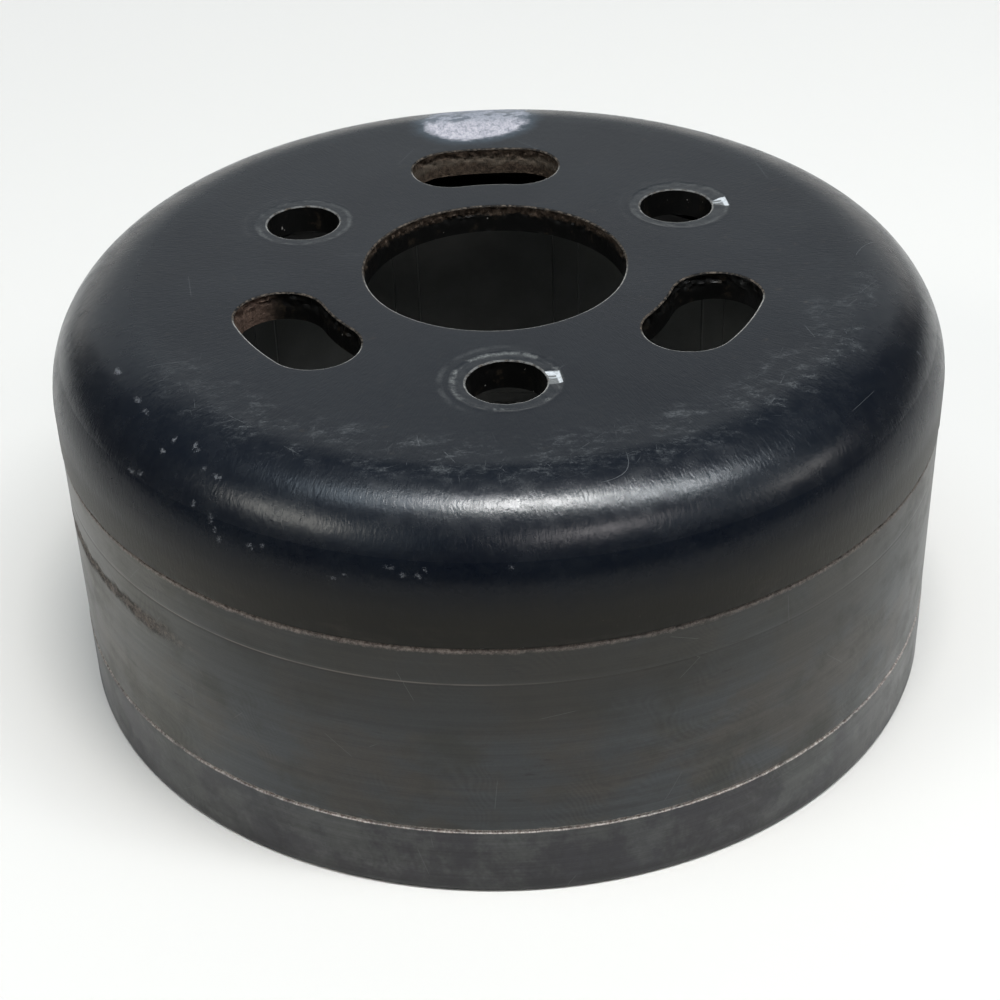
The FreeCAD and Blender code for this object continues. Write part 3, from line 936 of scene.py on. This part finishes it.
def moulded(name, dark, light, roughness, grain, specular=0.4, lit_gap_radius=None):
    """A cloudy colour with a fine grain, and painted light, pale beyond the given radius where pieces meet,
    that lifts the shade in the gaps between them.
    """
    m = Material(name)
    cloud = m.noise(6, 4, 0.6)
    speck = m.step(m.noise(0.6, 3, 0.7, seed=1), 0.62, 0.78)
    colour = m.blend(m.step(cloud, 0.3, 0.7), dark, light)
    colour = m.blend(m.product(speck, 0.3), colour, tuple(min(1.0, 1.8 * k) for k in light))
    if lit_gap_radius is not None:
        # Paler beyond that radius and over the magnets' height: painted light in the shaded gaps where
        # pieces meet.
        painted_gap_light = m.product(m.step(m.radius, lit_gap_radius, lit_gap_radius + 0.15), m.step(m.z, MAGNET_LOW, MAGNET_LOW + 0.5),
                          m.step(m.z, MAGNET_HIGH, MAGNET_HIGH - 0.5))
        colour = m.blend(painted_gap_light, colour, tuple(2.4 * k for k in light))
    height = m.product(m.noise(0.3, 3, 0.6, seed=2), grain)
    return m.finish(colour, m.blend(cloud, roughness - 0.07, roughness + 0.07), height, specular=specular)


def ground_metal(name, dark, light, roughness, stretch, metallic):
    """Metal with fine lines that run one way."""
    m = Material(name)
    lines = m.noise(0.25, 3, 0.6, stretch)
    cloud = m.noise(8, 4, 0.6, seed=1)
    colour = m.blend(m.step(cloud, 0.3, 0.7), dark, light)
    colour = m.vector("SCALE", colour, m.step(lines, 0.25, 0.75, 0.85, 1.12))
    roughness = m.blend(cloud, roughness - 0.06, roughness + 0.08)
    return m.finish(colour, roughness, m.product(lines, 0.012), metallic=metallic)


# ------------------------ the pieces
def add_cup():
    """The cup, with its materials in the order of the slots."""
    cup = cup_mesh()
    for material in (worn_paint(), turned_steel(), cut_steel(), inside_steel(), worn_and_glinting_edge(), thin_paint()):
        cup.data.materials.append(material)
    cup.data.shade_smooth()
    cup.data.set_sharp_from_angle(angle=math.radians(SHARP_ANGLE))
    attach(cup, "root")
    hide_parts("flywheel_cup")


def finish_cad_nodes():
    """Gives the pieces inside the cup, whose CAD shapes are shown, their materials."""
    dark, light = (0.05, 0.052, 0.049), (0.063, 0.065, 0.062)
    ferrite = moulded("ground_ferrite", dark, light, 0.6, 0.02, 0.2, MAGNET_RADIUS + 0.03)
    nylon = moulded("moulded_nylon", dark, light, 0.6, 0.03, 0.2, MAGNET_RADIUS + 0.23)
    resin = moulded("cured_resin", (0.2, 0.13, 0.05), (0.3, 0.21, 0.09), 0.35, 0.01)
    spring = ground_metal("spring_steel", (0.05, 0.052, 0.056), (0.11, 0.11, 0.115), 0.38,
                          (0.02, 0.02, 1), 0.8)
    anodised = ground_metal("black_anodised", (0.02, 0.02, 0.02), (0.034, 0.034, 0.034), 0.5,
                            (1, 0.05, 1), 0.0)
    for name, node in frame["nodes"].items():
        if name == "flywheel_cup":
            continue
        kind = {"spacer_ring": anodised, "magnet_cage": nylon, "retaining_ring": spring}.get(name)
        if kind is None:
            kind = resin if name.startswith("magnet_bond") else ferrite
        node.data.materials.clear()
        node.data.materials.append(kind)


# ------------------------ floor, lights and camera
BACKDROP = 0.93        # how bright the far floor and the room look to the camera

# The room's colour by the sine of the elevation. The first two stops are the ends.
ROOM = (
    (0.0, (0.08, 0.078, 0.07)), (1.0, (0.33, 0.38, 0.44)),
    (0.45, (0.065, 0.068, 0.07)), (0.72, (0.12, 0.145, 0.17)),
)

# Soft boxes: name, place in metres, width, height, brightness, colour and turn. A box with a turn hangs
# level, turned that many degrees about the vertical, and one without faces the cup's top.
SOFT_BOXES = (
    ("overhead", (0.07, -0.17, 1.2), 0.4, 0.15, 54.0, (1.0, 0.99, 0.97), -7),
    ("overhead_left", (-0.25, -0.11, 1.2), 0.22, 0.12, 5.0, (0.95, 0.98, 1.0), -7),
    ("overhead_right", (0.54, -0.22, 1.2), 0.54, 0.12, 26.0, (0.97, 0.99, 1.0), -7),
    ("overhead_wings", (0.16, -0.16, 1.25), 1.6, 0.36, 4.0, (0.74, 0.88, 1.0), -7),
    ("back", (0.0, 1.55, 0.8), 2.8, 0.9, 0.53, (0.92, 0.98, 1.0), None),
    ("back_low", (0.0, 1.6, 0.2), 2.8, 0.36, 0.9, (1.0, 0.99, 0.96), None),
    ("left", (-0.85, -0.48, 0.8), 0.4, 0.2, 8.8, (1.0, 0.97, 0.88), None),
    ("left_glow", (-0.85, -0.6, 0.9), 1.1, 0.5, 0.6, (0.76, 0.9, 1.0), None),
    ("front_right", (0.38, -0.86, 0.95), 0.55, 0.15, 8.0, (1.0, 0.95, 0.95), None),
    ("right", (1.14, -0.25, 0.62), 0.36, 0.14, 5.6, (1.0, 0.96, 0.92), None),
    ("right_glow", (1.0, -0.55, 0.85), 1.1, 0.4, 0.6, (0.76, 0.9, 1.0), None),
)


def add_floor():
    """A pale floor that fades, as the camera sees it, into the plain backdrop."""
    half = 4.0
    corners = [(-half, -half, 0), (half, -half, 0), (half, half, 0), (-half, half, 0)]
    mesh = bpy.data.meshes.new("floor")
    mesh.from_pydata(corners, [], [(0, 1, 2, 3)])
    floor = bpy.data.objects.new("floor", mesh)
    bpy.context.scene.collection.objects.link(floor)
    m = Material("pale_floor")
    m.finish((0.61, 0.592, 0.565, 1), 0.9, specular=0.1)
    far = m.step(m.vector("LENGTH", m.point), 150, 600)
    seen = m.product(far, m.node("ShaderNodeLightPath").outputs["Is Camera Ray"])
    plain = m.node("ShaderNodeEmission", [(BACKDROP, BACKDROP, BACKDROP, 1)])
    mixed = m.node("ShaderNodeMixShader", [seen, m.shader.outputs[0], plain.outputs[0]])
    m.feed(m.tree.nodes["Material Output"].inputs["Surface"], mixed.outputs[0])
    mesh.materials.append(m.material)


def add_world():
    """A soft pale room: dim and warm near the horizon, brighter and cooler overhead."""
    world = bpy.data.worlds.new("studio")
    bpy.context.scene.world = world
    world.use_nodes = True
    nodes, links = world.node_tree.nodes, world.node_tree.links
    background, output = nodes["Background"], nodes["World Output"]
    place = nodes.new("ShaderNodeTexCoord")
    parts = nodes.new("ShaderNodeSeparateXYZ")
    links.new(place.outputs["Generated"], parts.inputs[0])
    ramp = nodes.new("ShaderNodeValToRGB")
    links.new(parts.outputs["Z"], ramp.inputs[0])
    for key, (height, colour) in enumerate(ROOM):
        stop = ramp.color_ramp.elements[key] if key < 2 else ramp.color_ramp.elements.new(height)
        stop.position, stop.color = height, (*colour, 1)
    links.new(ramp.outputs[0], background.inputs["Color"])
    seen = nodes.new("ShaderNodeBackground")
    seen.inputs["Color"].default_value = (BACKDROP, BACKDROP, BACKDROP, 1)
    path = nodes.new("ShaderNodeLightPath")
    mixed = nodes.new("ShaderNodeMixShader")
    links.new(path.outputs["Is Camera Ray"], mixed.inputs[0])
    links.new(background.outputs[0], mixed.inputs[1])
    links.new(seen.outputs[0], mixed.inputs[2])
    links.new(mixed.outputs[0], output.inputs["Surface"])


def add_lights():
    """The soft boxes, none of which the camera sees."""
    top = Vector((0, 0, HEIGHT * MM))
    for name, place, width, height, brightness, colour, turn in SOFT_BOXES:
        light = bpy.data.lights.new(name, "AREA")
        light.shape = "RECTANGLE"
        light.size, light.size_y = width, height
        light.energy = brightness * math.pi * width * height
        light.color = colour
        lamp = bpy.data.objects.new(name, light)
        lamp.visible_camera = False
        lamp.location = place
        if turn is None:
            lamp.rotation_euler = (lamp.location - top).to_track_quat("Z", "Y").to_euler()
        else:
            lamp.rotation_euler = (0, 0, math.radians(turn))
        bpy.context.scene.collection.objects.link(lamp)


SENSOR_WIDTH = 36
CAMERA_LENS = 74.67
CAMERA_TILT = 34.52    # degrees below the horizontal
CAMERA_TURN = -1.7     # degrees about the spin axis, away from straight in front
CAMERA_ROLL = 1.88     # degrees, which lean the cup anticlockwise
CAMERA_DISTANCE = 292.25
AIM_RIGHT, AIM_UP = 0.354, 8.256   # the cup's middle from the middle of the view


def add_camera():
    """The camera, set by its angles about the cup's middle."""
    tilt, turn, roll = (math.radians(k) for k in (CAMERA_TILT, CAMERA_TURN, CAMERA_ROLL))
    spin = Matrix.Rotation(turn, 3, "Z")
    right = spin @ Vector((1, 0, 0))
    ahead = spin @ Vector((0, math.cos(tilt), -math.sin(tilt)))
    up = spin @ Vector((0, math.sin(tilt), math.cos(tilt)))
    place = Vector((0, 0, HEIGHT / 2)) - ahead * CAMERA_DISTANCE - right * AIM_RIGHT - up * AIM_UP
    across = right * math.cos(roll) - up * math.sin(roll)
    above = right * math.sin(roll) + up * math.cos(roll)
    data = bpy.data.cameras.new("camera")
    data.lens = CAMERA_LENS
    data.sensor_width = SENSOR_WIDTH
    data.clip_start = 0.01
    camera = bpy.data.objects.new("camera", data)
    turned = Matrix((across, above, -ahead)).transposed().to_4x4()
    camera.matrix_world = Matrix.Translation(place * MM) @ turned
    bpy.context.scene.collection.objects.link(camera)
    bpy.context.scene.camera = camera


add_cup()
finish_cad_nodes()
add_floor()
add_world()
add_lights()
add_camera()
bpy.context.scene.view_settings.view_transform = "Standard"
